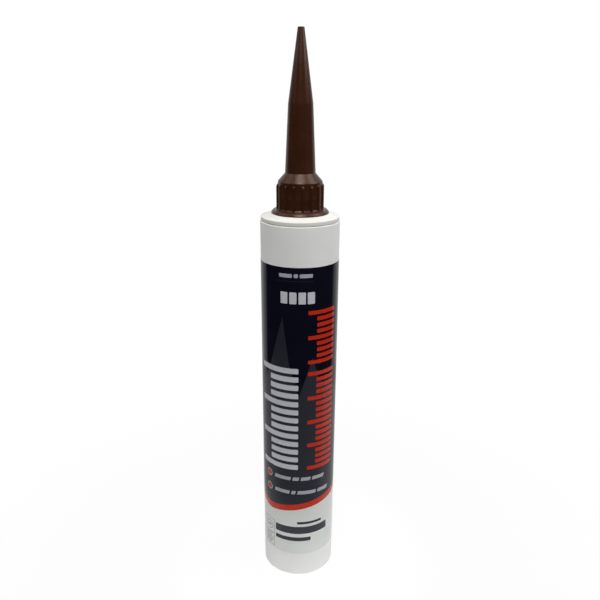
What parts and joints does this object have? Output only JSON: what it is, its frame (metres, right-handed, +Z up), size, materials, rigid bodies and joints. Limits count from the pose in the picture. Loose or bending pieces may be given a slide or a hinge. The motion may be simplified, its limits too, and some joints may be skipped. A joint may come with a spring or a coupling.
{
  "type": "caulk tube",
  "caption": "Full rigid caulk cartridge standing on its open rear rim, with a dark film label, a ribbed brown screw-on nozzle that lifts off and a piston that a gun pushes up the barrel",
  "frame": {"origin": "centre of the rear rim, on the plane that the tube stands on", "axes": "+Z runs up the tube's axis to the nozzle tip, -Y is the front of the label, +X is to the right seen from the front"},
  "size_m": [0.0504, 0.0504, 0.3646],
  "materials": {
    "white_plastic": "satin",
    "brown_plastic": "satin",
    "natural_plastic": "satin",
    "caulk": "matte",
    "printed_film": "gloss"
  },
  "bodies": {
    "cartridge": {"cartridge_barrel": "white_plastic", "label_film": "printed_film", "caulk_fill": "caulk"},
    "nozzle": {"nozzle": "brown_plastic"},
    "piston": {"piston": "natural_plastic"}
  },
  "joints": [
    {"name": "nozzle_lift", "type": "slide", "parent": "cartridge", "child": "nozzle", "axis": [0, 0, 1], "range_m": [0, 0.04]},
    {"name": "piston_push", "type": "slide", "parent": "cartridge", "child": "piston", "axis": [0, 0, 1], "range_m": [0, 0.22], "deforming": ["caulk_fill"]}
  ]
}
